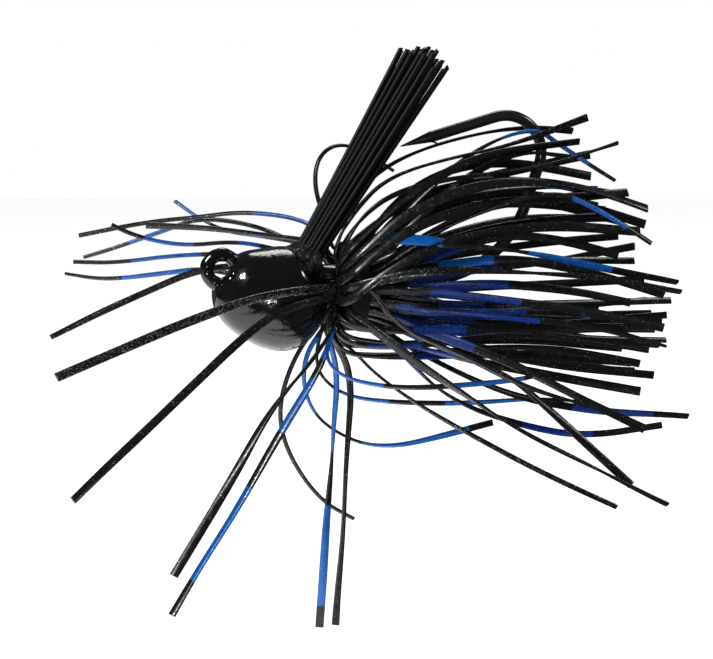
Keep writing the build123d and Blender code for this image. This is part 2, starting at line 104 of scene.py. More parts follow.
# Front halves that stand out forward, by (layer, slot): points after the collar
FLARED_FRONTS = {
    (2, 2): [
        (10.8, -5.3, -1.7),
        (4.5, -6.6, -2.2),
        (-1.0, -7.4, -3.4),
        (-10.5, -9.4, -6.6),
        (-20.4, -12.0, -10.2),
    ],
    (1, 3): [
        (11.0, -5.7, -2.8),
        (7.5, -6.9, -3.2),
        (3.0, -7.7, -4.8),
        (-8.0, -11.0, -14.0),
        (-19.0, -14.0, -23.3),
    ],
    (2, 4): [
        (11.9, -5.4, -5.6),
        (9.0, -6.6, -9.3),
        (4.4, -8.0, -14.0),
        (-1.0, -10.0, -22.3),
        (-7.8, -13.0, -32.0),
    ],
    (1, 4): [
        (11.9, -4.4, -4.9),
        (10.2, -5.6, -9.2),
        (12.0, -6.4, -11.5),
        (17.0, -6.9, -12.6),
        (23.0, -7.4, -12.8),
        (31.0, -8.0, -12.2),
        (35.0, -8.4, -11.2),
    ],
    (1, 5): [
        (11.9, -3.3, -6.8),
        (10.0, -4.4, -10.8),
        (6.5, -5.6, -16.0),
        (2.2, -6.8, -22.6),
        (-7.4, -9.5, -36.8),
    ],
    (1, 6): [
        (12.1, -1.2, -7.6),
        (14.2, -2.0, -11.4),
        (13.7, -2.5, -20.0),
        (12.0, -4.0, -39.3),
    ],
    (1, 7): [
        (12.0, 0.7, -7.4),
        (13.4, 0.9, -12.0),
        (12.9, 1.8, -18.5),
        (12.6, 2.5, -25.0),
        (11.8, 4.0, -40.7),
    ],
    (1, 8): [
        (11.9, 3.4, -6.2),
        (9.2, 5.2, -10.3),
        (7.6, 6.8, -16.5),
        (9.0, 8.0, -21.8),
        (12.8, 9.2, -27.0),
        (17.0, 10.0, -29.4),
    ],
    (2, 7): [
        (11.9, 2.0, -6.8),
        (9.8, 3.0, -10.2),
        (10.2, 4.2, -14.8),
        (13.0, 5.6, -18.6),
        (18.9, 6.6, -21.4),
        (27.9, 7.6, -19.7),
        (32.6, 8.2, -18.7),
    ],
    (2, 8): [
        (12.2, 4.2, -6.6),
        (11.4, 5.2, -11.5),
        (14.2, 5.4, -14.6),
        (19.0, 5.6, -15.8),
        (26.0, 6.0, -16.2),
        (37.0, 7.0, -16.0),
        (42.3, 7.4, -16.5),
    ],
    (1, 10): [
        (11.2, 6.0, -3.3),
        (6.0, 8.6, -2.1),
        (0.1, 11.5, -0.9),
        (-4.0, 13.0, -1.6),
        (-10.0, 15.2, -2.4),
        (-14.6, 17.0, -1.7),
    ],
    (2, 10): [
        (11.5, 6.0, -2.0),
        (7.5, 7.9, -0.4),
        (2.5, 9.4, 0.9),
        (-2.5, 11.6, 0.6),
        (-9.0, 13.6, -0.4),
        (-14.0, 15.0, -0.2),
    ],
    (1, 11): [(9.5, 6.4, -0.9), (0.5, 7.5, 0.0), (-8.5, 8.6, -3.8), (-17.6, 9.0, -8.0)],
    (2, 11): [
        (11.7, 6.1, 0.3),
        (7.8, 8.2, 1.4),
        (3.5, 9.4, 2.2),
        (-2.1, 11.0, 1.6),
        (-7.2, 12.3, 2.7),
        (-10.0, 13.0, 4.0),
    ],
    (0, 12): [
        (11.5, 6.6, 0.9),
        (7.0, 11.0, 3.6),
        (0.6, 14.8, 4.6),
        (-3.6, 16.6, 2.8),
        (-8.1, 18.6, 1.0),
        (-12.0, 20.0, -0.2),
    ],
    (1, 12): [
        (11.8, 5.4, 2.0),
        (6.8, 10.5, 2.6),
        (3.4, 14.0, 2.9),
        (0.5, 16.5, 4.3),
        (-1.8, 18.5, 6.0),
    ],
    (2, 12): [
        (12.2, 4.7, 3.4),
        (10.2, 6.8, 4.9),
        (4.2, 10.0, 5.5),
        (-0.5, 12.0, 4.8),
        (-5.7, 14.0, 4.1),
        (-13.2, 16.0, 2.6),
    ],
    (1, 13): [(11.7, 3.4, 2.3), (9.0, 5.0, 2.9), (1.0, 6.4, 3.9), (-7.0, 8.0, 4.3)],
    (2, 13): [
        (12.6, 3.3, 4.2),
        (11.4, 4.7, 8.2),
        (11.9, 5.6, 11.6),
        (14.2, 6.4, 13.2),
        (17.5, 7.0, 12.4),
        (21.0, 7.4, 10.0),
    ],
}

# Front halves that fold back over the collar along a route of their own
FOLDED_FRONTS = {
    (0, 0): [
        (14.6, -2.4, 6.6),
        (18.0, -2.6, 9.9),
        (25.0, -3.0, 12.2),
        (33.0, -3.0, 13.6),
        (40.6, -3.2, 16.4),
    ],
    (1, 0): [
        (14.8, -4.4, 5.9),
        (18.6, -4.8, 8.6),
        (26.0, -5.3, 10.4),
        (34.5, -5.6, 10.9),
        (43.3, -6.2, 13.8),
    ],
    (2, 0): [
        (14.8, -6.2, 3.6),
        (19.3, -8.6, 3.8),
        (25.9, -9.6, 3.0),
        (34.3, -10.4, 1.8),
        (48.8, -11.4, -1.4),
    ],
    (0, 1): [
        (15.0, -6.6, 4.4),
        (19.4, -6.2, 8.0),
        (25.6, -4.8, 11.6),
        (32.5, -4.3, 13.2),
        (39.4, -4.4, 13.8),
    ],
    (1, 1): [
        (15.0, -7.6, 3.0),
        (19.2, -8.0, 6.6),
        (27.0, -7.8, 9.6),
        (36.5, -7.3, 9.9),
        (46.6, -6.6, 6.4),
    ],
    (2, 1): [
        (14.8, -8.0, -1.2),
        (17.9, -9.4, -6.0),
        (25.3, -10.4, -9.2),
        (32.4, -11.0, -12.8),
        (38.7, -11.4, -14.8),
    ],
    (1, 2): [
        (15.4, -9.0, -0.8),
        (20.0, -10.4, 0.4),
        (30.0, -11.6, 0.4),
        (40.0, -12.0, -0.6),
        (48.9, -12.6, -2.2),
    ],
    (2, 3): [(16.1, -7.6, -6.4), (20.9, -8.4, -10.6), (32.9, -9.4, -18.4), (48.1, -10.4, -26.0)],
    (2, 6): [
        (14.4, -1.0, -9.0),
        (17.6, -1.6, -12.6),
        (27.0, -2.2, -18.4),
        (34.2, -2.6, -22.4),
        (44.2, -3.0, -27.2),
    ],
    (0, 13): [
        (14.8, 4.0, 6.2),
        (18.0, 3.2, 10.2),
        (25.0, 2.9, 13.4),
        (33.0, 2.8, 15.0),
        (40.5, 3.2, 14.4),
    ],
    (0, 2): [
        (15.5, -8.2, 2.2),
        (20.5, -8.2, 5.4),
        (28.0, -7.0, 7.4),
        (36.0, -6.4, 7.6),
        (44.5, -6.0, 8.2),
    ],
    (0, 3): [
        (15.6, -9.0, -0.6),
        (21.0, -9.6, 2.6),
        (29.0, -8.8, 4.6),
        (37.0, -8.0, 4.9),
        (45.5, -7.6, 4.0),
    ],
    (0, 10): [
        (15.5, 8.8, -1.6),
        (21.0, 8.8, 2.6),
        (29.0, 7.8, 5.6),
        (38.0, 7.2, 6.6),
        (44.8, 6.8, 7.4),
    ],
    (0, 11): [
        (15.5, 8.0, 1.6),
        (20.5, 7.4, 5.2),
        (28.5, 6.4, 8.6),
        (37.0, 5.6, 10.4),
        (43.0, 5.2, 11.6),
    ],
}

# Rear halves along a route of their own
ROUTED_REARS = {
    (0, 0): [
        (20.0, -2.4, 6.0),
        (27.0, -2.9, 12.7),
        (34.6, -2.4, 15.4),
        (37.5, -2.9, 13.4),
        (43.6, -4.0, 9.4),
    ],
    (1, 0): [(20.0, -3.4, 4.4), (27.0, -3.8, 10.4), (33.0, -3.7, 12.8), (38.1, -4.2, 12.2)],
    (2, 0): [
        (21.0, -5.4, 3.6),
        (29.0, -7.4, 7.0),
        (35.6, -8.6, 8.8),
        (40.0, -8.8, 7.0),
        (46.3, -9.4, 2.8),
    ],
    (1, 1): [(20.5, -4.4, 2.9), (29.0, -5.0, 7.2), (38.0, -5.2, 7.4), (46.6, -5.6, 4.6)],
    (2, 1): [(21.0, -6.4, 0.4), (31.0, -8.6, 1.6), (40.0, -9.4, -0.4), (47.7, -9.8, -2.8)],
    (1, 2): [(20.5, -4.9, 0.4), (29.0, -6.2, 3.9), (36.0, -6.8, 3.4), (43.1, -7.4, 1.4)],
    (2, 2): [(21.0, -7.0, -2.2), (30.0, -9.8, -3.0), (38.0, -11.2, -4.2), (47.0, -12.4, -6.2)],
    (1, 3): [(20.5, -4.9, -2.0), (29.0, -6.8, -1.4), (37.0, -7.8, -2.2), (44.2, -8.4, -3.8)],
    (2, 3): [(21.0, -6.6, -4.4), (30.0, -9.0, -5.0), (39.0, -10.0, -6.0), (47.8, -10.4, -8.4)],
    (1, 4): [(20.5, -4.6, -4.6), (29.0, -6.4, -4.8), (37.0, -7.0, -4.8), (44.9, -7.0, -5.8)],
    (2, 4): [(20.5, -5.6, -6.2), (27.4, -7.6, -8.6), (35.5, -9.0, -12.6), (45.4, -10.6, -17.6)],
    (2, 5): [(20.5, -3.6, -7.4), (28.5, -5.0, -10.4), (33.5, -5.8, -13.6), (44.7, -7.4, -24.2)],
    (2, 6): [
        (20.0, -1.2, -9.6),
        (25.3, -3.0, -15.0),
        (33.0, -4.2, -17.6),
        (40.0, -4.8, -19.0),
        (48.7, -5.4, -17.8),
    ],
    (2, 7): [(20.0, 1.2, -8.4), (29.0, 1.4, -13.4), (39.3, 1.8, -16.6), (53.8, 2.4, -17.9)],
    (2, 8): [(20.5, 3.8, -7.2), (30.0, 5.4, -10.2), (40.0, 7.0, -12.4), (51.3, 8.2, -13.8)],
    (1, 9): [(20.5, 3.4, -4.6), (29.0, 4.4, -5.4), (37.0, 4.8, -5.6), (44.0, 5.2, -5.8)],
    (2, 9): [(20.0, 4.8, -5.8), (27.0, 4.9, -9.0), (37.0, 5.0, -11.2), (48.3, 5.8, -12.8)],
    (1, 10): [(20.5, 4.9, -3.2), (29.0, 6.8, -4.4), (43.2, 8.2, -7.0)],
    (2, 10): [(21.0, 6.2, -3.4), (31.0, 8.6, -6.4), (41.0, 9.2, -9.0), (51.0, 9.4, -11.0)],
    (2, 11): [(21.0, 6.2, -0.6), (31.0, 9.0, 0.6), (40.0, 10.4, 1.4), (47.8, 11.2, 1.8)],
    (2, 12): [(19.5, 5.6, 3.4), (26.0, 6.8, 6.4), (36.0, 8.2, 6.6), (47.5, 9.0, 3.6)],
    (1, 13): [(18.4, 3.6, 5.2), (23.5, 3.8, 9.4), (32.0, 4.0, 11.4), (42.9, 4.4, 9.2)],
    (2, 13): [(18.6, 4.6, 4.6), (24.0, 5.2, 8.0), (34.0, 6.0, 9.2), (46.7, 6.8, 6.8)],
    (0, 1): [(19.0, -2.8, 3.2), (24.0, -3.2, 7.0), (32.0, -3.6, 8.8), (41.5, -4.0, 8.6)],
    (0, 12): [(18.6, 3.6, 2.4), (24.0, 4.2, 6.0), (33.0, 5.0, 7.8), (44.0, 5.8, 6.0)],
    (0, 13): [(18.4, 2.6, 3.8), (23.0, 2.9, 7.4), (30.0, 3.2, 9.0), (41.0, 3.6, 7.8)],
    (1, 12): [(19.0, 5.0, 2.6), (25.0, 6.0, 5.4), (34.0, 7.2, 6.4), (45.5, 8.0, 5.0)],
    (0, 2): [(19.5, -3.0, 0.6), (26.0, -3.6, 3.6), (35.0, -4.0, 5.2), (44.5, -4.6, 5.4)],
    (0, 3): [(19.5, -3.2, -1.6), (27.0, -4.2, -0.2), (36.0, -4.6, 0.8), (45.5, -5.2, 0.6)],
    (0, 11): [(19.5, 3.0, 0.2), (26.0, 3.8, 3.2), (35.0, 4.6, 4.8), (45.0, 5.2, 4.4)],
}

# How each strand looks: (layer, slot): front width, front blue bands, rear width, rear
# blue bands. A band is its start and end, measured along the strand from the collar.
LOOKS = {
    (2, 2): (1.05, [], 1.0, [(8, 18)]),
    (1, 3): (0.95, [], 1.0, [(5, 17)]),
    (2, 4): (1.0, [], 1.1, [(4, 14)]),
    (1, 4): (0.75, [(6, 16), (23.5, 31.7)], 0.95, [(5, 19), (25, 32)]),
    (1, 5): (1.0, [(4.5, 8), (10.5, 17.5), (24.5, 36.6)], 0.95, [(4, 18)]),
    (1, 6): (0.95, [], 0.9, [(7, 14)]),
    (1, 7): (0.95, [(5, 17.8), (24, 35.5)], 0.9, [(9, 17)]),
    (1, 8): (0.5, [], 0.9, [(8, 16)]),
    (2, 7): (0.75, [(5, 14.6), (21.5, 34.5)], 0.85, [(28, 37.5)]),
    (2, 8): (0.75, [(13, 18.6), (25.2, 36)], 0.9, [(7, 15)]),
    (1, 10): (0.55, [(19, 27)], 0.9, [(8, 15)]),
    (2, 10): (0.55, [(17, 25)], 0.9, [(7, 15)]),
    (1, 11): (0.75, [], 0.9, [(9, 14)]),
    (2, 11): (0.5, [(10.5, 13), (18, 23.5)], 0.85, []),
    (0, 12): (0.5, [(24, 29.5)], 1.0, []),
    (1, 12): (0.55, [(12, 15), (21, 25)], 1.0, []),
    (2, 12): (0.5, [(6, 13)], 1.05, []),
    (1, 13): (0.75, [], 1.0, []),
    (2, 13): (0.5, [], 1.05, []),
    (0, 13): (0.95, [], 0.9, []),
    (0, 2): (1.1, [], 0.95, []),
    (0, 3): (1.1, [], 0.95, [(6, 16)]),
    (0, 10): (1.0, [], 0.9, [(7, 15)]),
    (0, 11): (1.0, [(24, 29)], 0.9, []),
    (0, 0): (1.0, [], 0.75, [(22, 33)]),
    (1, 0): (1.15, [], 1.0, []),
    (2, 0): (1.3, [(8, 15), (24.5, 34)], 0.65, [(25, 32)]),
    (0, 1): (0.95, [], 1.0, [(24, 30)]),
    (1, 1): (1.15, [], 1.0, []),
    (2, 1): (1.15, [], 1.0, [(9, 15)]),
    (1, 2): (1.05, [], 0.95, [(8, 13)]),
    (2, 3): (1.15, [], 1.0, [(4, 20)]),
    (2, 5): (1.0, [(9, 16)], 0.95, [(5, 17)]),
    (2, 6): (0.6, [], 0.75, [(8, 11), (23, 31)]),
}
# The share of a front half's surface that is silver flake. Rear halves have the usual share.
USUAL_FLECKS = 0.02
FLECKS = {
    (2, 2): 0.42,
    (1, 3): 0.06,
    (1, 11): 0.07,
    (2, 6): 0.2,
    (0, 0): 0.1,
    (1, 2): 0.08,
    (2, 3): 0.06,
}
NAVY_SHADE_SLOTS = range(2, 11)  # halves behind the collar dyed a darker navy, which is painted shade for the bundle's inner strands; the others are cobalt
NAVY_SHADE_SHARE = 0.9
TOP_SLOTS = (0, 1, 12, 13)
STRAND_THICKNESS = 0.34
STRAND_STEP = 0.5
CURVE_STEPS = 24
EDGE_ROUNDING = 0.09
CROWN = 1.04  # a ribbon's middle over its edges, in thickness

# Past this length from the collar a ribbon is free to turn and sway, over the next run
HELD_LENGTH = 2.5
EASING_LENGTH = 6.0
TWIST = 0.45
SWAY = 0.07


# ---------------------------------------------------------------- materials


def grey(level):
    return (level, level, level, 1)


class Nodes:
    """A material under construction, with its principled shader."""

    def __init__(self, name):
        self.material = bpy.data.materials.new(name)
        self.material.use_nodes = True
        self.tree = self.material.node_tree
        self.shader = self.tree.nodes["Principled BSDF"]
        self.coordinates = self.new("TexCoord").outputs["Object"]

    def new(self, kind, **settings):
        node = self.tree.nodes.new("ShaderNode" + kind)
        for key, value in settings.items():
            setattr(node, key, value)
        return node

    def link(self, output, target):
        self.tree.links.new(output, target)

    def drive(self, name, output):
        """Link an output to the shader's own socket of that name."""
        self.link(output, self.shader.inputs[name])

    def fix(self, name, value):
        """Set a constant on the shader's own socket of that name."""
        self.shader.inputs[name].default_value = value

    def attribute(self, name):
        return self.new("Attribute", attribute_name=name).outputs["Fac"]

    def noise(self, scale, detail=3.0, roughness=0.5):
        node = self.new("TexNoise")
        node.inputs["Scale"].default_value = scale
        node.inputs["Detail"].default_value = detail
        node.inputs["Roughness"].default_value = roughness
        self.link(self.coordinates, node.inputs["Vector"])
        return node.outputs["Fac"]

    def ramp(self, source, low, high, out_low=0.0, out_high=1.0):
        node = self.new("MapRange", clamp=True)
        node.inputs["From Min"].default_value = low
        node.inputs["From Max"].default_value = high
        node.inputs["To Min"].default_value = out_low
        node.inputs["To Max"].default_value = out_high
        self.link(source, node.inputs["Value"])
        return node.outputs["Result"]

    def math(self, operation, first, second):
        """The first value is always an output, the second an output or a number."""
        node = self.new("Math", operation=operation)
        self.link(first, node.inputs[0])
        if isinstance(second, float):
            node.inputs[1].default_value = second
        else:
            self.link(second, node.inputs[1])
        return node.outputs[0]

    def mix(self, factor, first, second):
        node = self.new("Mix", data_type="RGBA")
        self.link(factor, node.inputs["Factor"])
        for value, target in ((first, node.inputs[6]), (second, node.inputs[7])):
            if isinstance(value, tuple):
                target.default_value = value
            else:
                self.link(value, target)
        return node.outputs[2]

    def bump(self, height, strength, distance):
        node = self.new("Bump")
        node.inputs["Strength"].default_value = strength
        node.inputs["Distance"].default_value = distance
        self.link(height, node.inputs["Height"])
        self.drive("Normal", node.outputs["Normal"])


def head_paint():
    """Baked powder paint: deep gloss with a slight orange peel and dusty, duller patches."""
    m = Nodes("head_paint")
    dust = m.ramp(m.noise(420.0, 4.0), 0.45, 0.8)
    m.drive("Base Color", m.mix(dust, (0.0015, 0.0018, 0.0018, 1), (0.0045, 0.005, 0.005, 1)))
    m.drive("Roughness", m.ramp(m.noise(900.0, 5.0), 0.35, 0.75, 0.09, 0.24))
    m.bump(m.noise(300.0, 4.0, 0.6), 0.35, 0.0005)
    m.fix("Specular IOR Level", 0.55)
    m.fix("Coat Weight", 0.4)
    m.fix("Coat Roughness", 0.05)
    return m.material


def black_nickel():
    """Polished black nickel plate with fine marks."""
    m = Nodes("black_nickel")
    tint = m.mix(m.noise(1500.0), (0.035, 0.036, 0.04, 1), (0.075, 0.076, 0.08, 1))
    m.drive("Base Color", tint)
    m.drive("Roughness", m.ramp(m.noise(2600.0, 6.0), 0.3, 0.7, 0.16, 0.32))
    m.bump(m.noise(5200.0, 2.0), 0.06, 0.00003)
    m.fix("Metallic", 0.85)
    return m.material


def nylon_fibre():
    """Black nylon monofilament: satin, and a little uneven."""
    m = Nodes("nylon_fibre")
    tint = m.mix(m.noise(700.0), (0.0025, 0.0028, 0.003, 1), (0.007, 0.0075, 0.008, 1))
    m.drive("Base Color", tint)
    m.drive("Roughness", m.ramp(m.noise(1800.0, 4.0), 0.3, 0.7, 0.32, 0.5))
    m.bump(m.noise(3500.0, 3.0), 0.12, 0.00004)
    m.fix("Specular IOR Level", 0.22)
    return m.material


def cured_glue():
    """Glue over the paint: clear grey with pale specks of trapped air."""
    m = Nodes("cured_glue")
    specks = m.ramp(m.noise(2400.0, 5.0, 0.65), 0.6, 0.72)
    m.drive("Base Color", m.mix(specks, grey(0.012), (0.28, 0.27, 0.25, 1)))
    m.drive("Roughness", m.ramp(m.noise(1500.0, 3.0), 0.3, 0.7, 0.15, 0.4))
    m.bump(m.noise(1700.0, 4.0), 0.5, 0.0002)
    return m.material


def latex():
    """Matt black latex band with a slight bloom."""
    m = Nodes("latex")
    m.drive("Base Color", m.mix(m.noise(900.0), grey(0.003), grey(0.007)))
    m.drive("Roughness", m.ramp(m.noise(2100.0, 4.0), 0.3, 0.7, 0.5, 0.7))
    m.bump(m.noise(3000.0, 3.0), 0.2, 0.00006)
    m.fix("Specular IOR Level", 0.2)
    return m.material


def silicone():
    """Black silicone, blue where the dye attribute is above 0, with silver flake in it; the darker
    navy on the inner strands is painted shade.
    """
    m = Nodes("silicone")
    ragged = m.math("ADD", m.attribute("dye"), m.ramp(m.noise(3200.0, 3.0), 0.0, 1.0, -0.22, 0.22))
    blue_share = m.ramp(ragged, -0.12, 0.12)
    black = m.mix(m.noise(600.0, 3.0), (0.0022, 0.0024, 0.0024, 1), (0.006, 0.0065, 0.0065, 1))
    cobalt = m.mix(m.noise(450.0, 3.0), (0.0005, 0.034, 0.19, 1), (0.001, 0.115, 0.44, 1))
    # Navy: a darker blue on the inner strands' halves, painted shade for the inside of the bundle
    shaded_navy = m.mix(m.noise(380.0, 3.0), (0.0006, 0.004, 0.06, 1), (0.0015, 0.022, 0.21, 1))
    blue = m.mix(m.attribute("navy_shade_dye"), cobalt, shaded_navy)
    base = m.mix(blue_share, black, blue)
    cells = m.new("TexVoronoi", feature="F1")
    cells.inputs["Scale"].default_value = 7500.0
    m.link(m.coordinates, cells.inputs["Vector"])
    pick = m.new("SeparateColor")
    m.link(cells.outputs["Color"], pick.inputs["Color"])
    rare = m.math("LESS_THAN", pick.outputs["Red"], m.attribute("flecks"))
    core = m.math("LESS_THAN", cells.outputs["Distance"], 0.42)
    flake = m.math("MULTIPLY", rare, core)
    m.drive("Base Color", m.mix(flake, base, (0.42, 0.42, 0.44, 1)))
    m.drive("Metallic", m.math("MULTIPLY", flake, 0.75))
    m.drive("Roughness", m.ramp(m.noise(1400.0, 4.0), 0.3, 0.72, 0.18, 0.42))
    m.bump(m.noise(2600.0, 4.0), 0.22, 0.00008)
    return m.material


# ---------------------------------------------------------------- shapes


def bare_mesh(name, vertices, faces):
    mesh = bpy.data.meshes.new(name)
    mesh.from_pydata(vertices, [], faces)
    mesh.update()
    piece = bpy.data.objects.new(name, mesh)
    bpy.context.collection.objects.link(piece)
    return piece


def smooth(piece, angle):
    """Smooth shading with a crease where two faces meet at more than the angle."""
    mesh = piece.data
    for polygon in mesh.polygons:
        polygon.use_smooth = True
    mesh.set_sharp_from_angle(angle=math.radians(angle))


def turns(count):
    """Angles of so many points set evenly round a circle."""
    return [2 * math.pi * k / count for k in range(count)]


def quads(first, second, count):
    """Faces between two rings of count points, given the number of each ring's first point."""
    faces = []
    for k in range(count):
        after = (k + 1) % count
        faces.append((first + k, first + after, second + after, second + k))
    return faces


def tube_faces(base, ring_count, count):
    """Faces of a tube through rings of count points numbered on from base, with end caps."""
    faces = []
    for ring in range(ring_count - 1):
        faces += quads(base + ring * count, base + (ring + 1) * count, count)
    last = base + (ring_count - 1) * count
    faces.append(tuple(range(base, base + count))[::-1])
    faces.append(tuple(range(last, last + count)))
    return faces


def loft_rings(name, rings):
    """A closed tube through rings of equal length, capped at both ends."""
    vertices = [point for ring in rings for point in ring]
    return bare_mesh(name, vertices, tube_faces(0, len(rings), len(rings[0])))


def flowing_line(corners, step):
    """Points along the curve that touches each run's middle, as (point, distance from start)."""
    corners = [Vector(c) for c in corners]
    middles = [(a + b) / 2 for a, b in zip(corners, corners[1:])]
    anchors = [corners[0]] + middles + [corners[-1]]
    handles = [(corners[0] + middles[0]) / 2] + corners[1:-1] + [(middles[-1] + corners[-1]) / 2]
    fine = []
    for start, handle, end in zip(anchors, handles, anchors[1:]):
        for k in range(CURVE_STEPS):
            t = k / CURVE_STEPS
            fine.append(start * (1 - t) ** 2 + handle * 2 * t * (1 - t) + end * t**2)
    fine.append(anchors[-1])
    line = [(fine[0], 0.0)]
    gone = 0.0
    due = step
    for a, b in zip(fine, fine[1:]):
        run = (b - a).length
        while gone + run >= due:
            line.append((a.lerp(b, (due - gone) / run), due))
            due += step
        gone += run
    line.append((fine[-1], gone))
    return line


def around_neck(x, radius, angle):
    a = math.radians(angle)
    return (x, -radius * math.sin(a), SHANK_Z + radius * math.cos(a))


def slot_angle(layer, slot):
    return FIRST_ANGLE + ROOT_SECTOR / ROOTS_PER_LAYER * (slot + layer / len(ROOT_RADII))


def trailing_route(layer, slot, spread, length):
    """A strand that trails back from the collar, spread away from the neck's axis."""
    angle = slot_angle(layer, slot)
    route = []
    for share, lift in ((0.2, 0.4), (0.55, 0.9), (1.0, 0.0)):
        reach = share * length
        radius = TRAIL_START[1] + ROOT_RADII[layer] + reach * math.sin(math.radians(spread))
        x = COLLAR_X + TRAIL_START[0] + reach * math.cos(math.radians(spread))
        _, y, z = around_neck(x, radius, angle)
        wave = lift * math.sin(1.7 * (slot + 5 * layer + spread))
        route.append((x, y, z + wave + TIP_RISE * share**2))
    return route


def front_half(layer, slot):
    angle = slot_angle(layer, slot)
    turn = [around_neck(TURN_X[layer], ROOT_RADII[layer], angle)]
    if (layer, slot) in FLARED_FRONTS:
        return turn + FLARED_FRONTS[layer, slot]
    turn.append(around_neck(TURN_X[layer], FOLD_RADII[layer], angle))
    if (layer, slot) in FOLDED_FRONTS:
        return turn + FOLDED_FRONTS[layer, slot]
    turn.append(around_neck(FOLD_BACK_X, FOLD_RADII[layer] + FOLD_LIFT, angle))
    return turn + trailing_route(layer, slot, 14.0 + 2.0 * layer, FRONT_TRAIL)[1:]


def rear_half(layer, slot):
    start = around_neck(COLLAR_X + REAR_EXIT, ROOT_RADII[layer], slot_angle(layer, slot))
    if (layer, slot) in ROUTED_REARS:
        return [start] + ROUTED_REARS[layer, slot]
    return [start] + trailing_route(layer, slot, 5.0 + 3.5 * layer, REAR_TRAIL)


# ---------------------------------------------------------------- skirt


def strand_looks(layer, slot):
    """Widths and bands of a strand that LOOKS doesn't give."""
    number = slot + ROOTS_PER_LAYER * layer
    top = slot in TOP_SLOTS
    width = 0.9 + 0.12 * math.sin(2.1 * number)
    front = []
    if number % 3 != 0 and not top:
        start = 11 + 3 * math.sin(2.0 * number)
        front = [(start, start + 6)]
    rear = []
    if not top:
        start = 8.5 + 2.5 * math.sin(2.3 * number)
        rear = [(start, start + 7 + 2 * math.sin(1.3 * number))]
    return width, front, width, rear


def dye_depth(distance, bands):
    """How far inside a blue band a point is, held between -1 outside and 1."""
    best = -1.0
    for start, end in bands:
        best = max(best, min(distance - start, end - distance))
    return min(best, 1.0)


def ribbon_section(width):
    w = width / 2
    t = STRAND_THICKNESS / 2
    c = EDGE_ROUNDING
    upper = [(w, -t + c), (w, t - c), (w - c, t), (0, t * CROWN), (-w + c, t)]
    return upper + [(-w, t - c), (-w, -t + c), (-w + c, -t), (0, -t * CROWN), (w - c, -t)]


def directions(points):
    last = len(points) - 1
    ahead = [points[min(i + 1, last)] - points[max(i - 1, 0)] for i in range(len(points))]
    return [step.normalized() for step in ahead]


def carried_sides(travel, middle, side):
    """The ribbon's side at each point, carried both ways from the middle without twisting."""
    sides = [side] * len(travel)
    for i in range(middle + 1, len(travel)):
        sides[i] = travel[i - 1].rotation_difference(travel[i]) @ sides[i - 1]
    for i in range(middle - 1, -1, -1):
        sides[i] = travel[i + 1].rotation_difference(travel[i]) @ sides[i + 1]
    return sides


def strand(layer, slot):
    place = (layer, slot)
    number = layer * ROOTS_PER_LAYER + slot + 1
    name = f"skirt_strand_{number:02d}"
    chance = random.Random(number)
    wave_a = chance.uniform(0, 6.3)
    wave_b = chance.uniform(0, 6.3)
    turn_front = chance.uniform(-0.05, 0.05)
    turn_rear = chance.uniform(-0.05, 0.05)
    looks = LOOKS.get(place) or strand_looks(layer, slot)
    front_width, front_bands, rear_width, rear_bands = looks
    front_looks = (front_width, front_bands, turn_front, FLECKS.get(place, USUAL_FLECKS))
    rear_looks = (rear_width, rear_bands, turn_rear, USUAL_FLECKS)

    line = flowing_line(front_half(layer, slot)[::-1] + rear_half(layer, slot), STRAND_STEP)
    points = [point for point, _ in line]
    travel = directions(points)
    angle = slot_angle(layer, slot)
    held_at = Vector(around_neck(COLLAR_X, ROOT_RADII[layer], angle))
    middle = min(range(len(points)), key=lambda i: (points[i] - held_at).length)
    outward = Vector(around_neck(0, 1, angle)) - Vector((0, 0, SHANK_Z))
    sides = carried_sides(travel, middle, travel[middle].cross(outward).normalized())

    rings = []
    values = {"dye": [], "navy_shade_dye": [], "flecks": []}
    for i, (point, gone) in enumerate(line):
        away = gone - line[middle][1]
        reach = abs(away)
        width, bands, turning, flecks = front_looks if away < 0 else rear_looks
        free = min(1.0, max(0.0, (reach - HELD_LENGTH) / EASING_LENGTH))
        wander = TWIST * math.sin(reach * 0.15 + wave_a)
        twist = free * (turning * (reach - HELD_LENGTH) + wander)
        side = Quaternion(travel[i], twist) @ sides[i]
        flat = side.cross(travel[i])
        centre = point + flat * (free * SWAY * math.sin(reach * 0.36 + wave_b))
        ring = [(centre + side * a + flat * b) * MM for a, b in ribbon_section(width)]
        rings.append(ring)
        # Halves inside the bundle take the darker navy as painted shade
        shaded_navy = slot in NAVY_SHADE_SLOTS and (away > 0 or place not in FLARED_FRONTS)
        values["dye"] += [dye_depth(reach, bands)] * len(ring)
        values["navy_shade_dye"] += [NAVY_SHADE_SHARE if shaded_navy else 0.0] * len(ring)
        values["flecks"] += [flecks] * len(ring)
    piece = loft_rings(name + "_ribbon", rings)
    for title, numbers in values.items():
        piece.data.attributes.new(title, "FLOAT", "POINT").data.foreach_set("value", numbers)
    smooth(piece, 50)
    piece.data.materials.append(SILICONE)
    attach(piece, "root")
    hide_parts(name)


# ---------------------------------------------------------------- weed guard


def guard_axes():
    a = math.radians(GUARD_ANGLE)
    along = Vector((math.cos(a), 0, math.sin(a)))
    across = Vector((0, 1, 0))
    return across, along.cross(across), along


def guard_place(across_mm, fore_mm, along_mm):
    across, fore, along = guard_axes()
    return Vector(GUARD_PIVOT) + across * across_mm + fore * fore_mm + along * along_mm


def fibre_spots(side):
    """Where the fibres of one half stand in the bundle, as (across, fore)."""
    spots = []
    for row, sideways in enumerate(FIBRE_ROWS):
        odd = row % 2
        reach = math.sqrt(BUNDLE_RADIUS**2 - sideways**2)
        half = int(reach / FIBRE_PITCH + 0.5 * odd)
        shift = 0.5 * FIBRE_PITCH * odd
        for step in range(-half, half + 1 - odd):
            spots.append((side * sideways, step * FIBRE_PITCH + shift))
    return spots


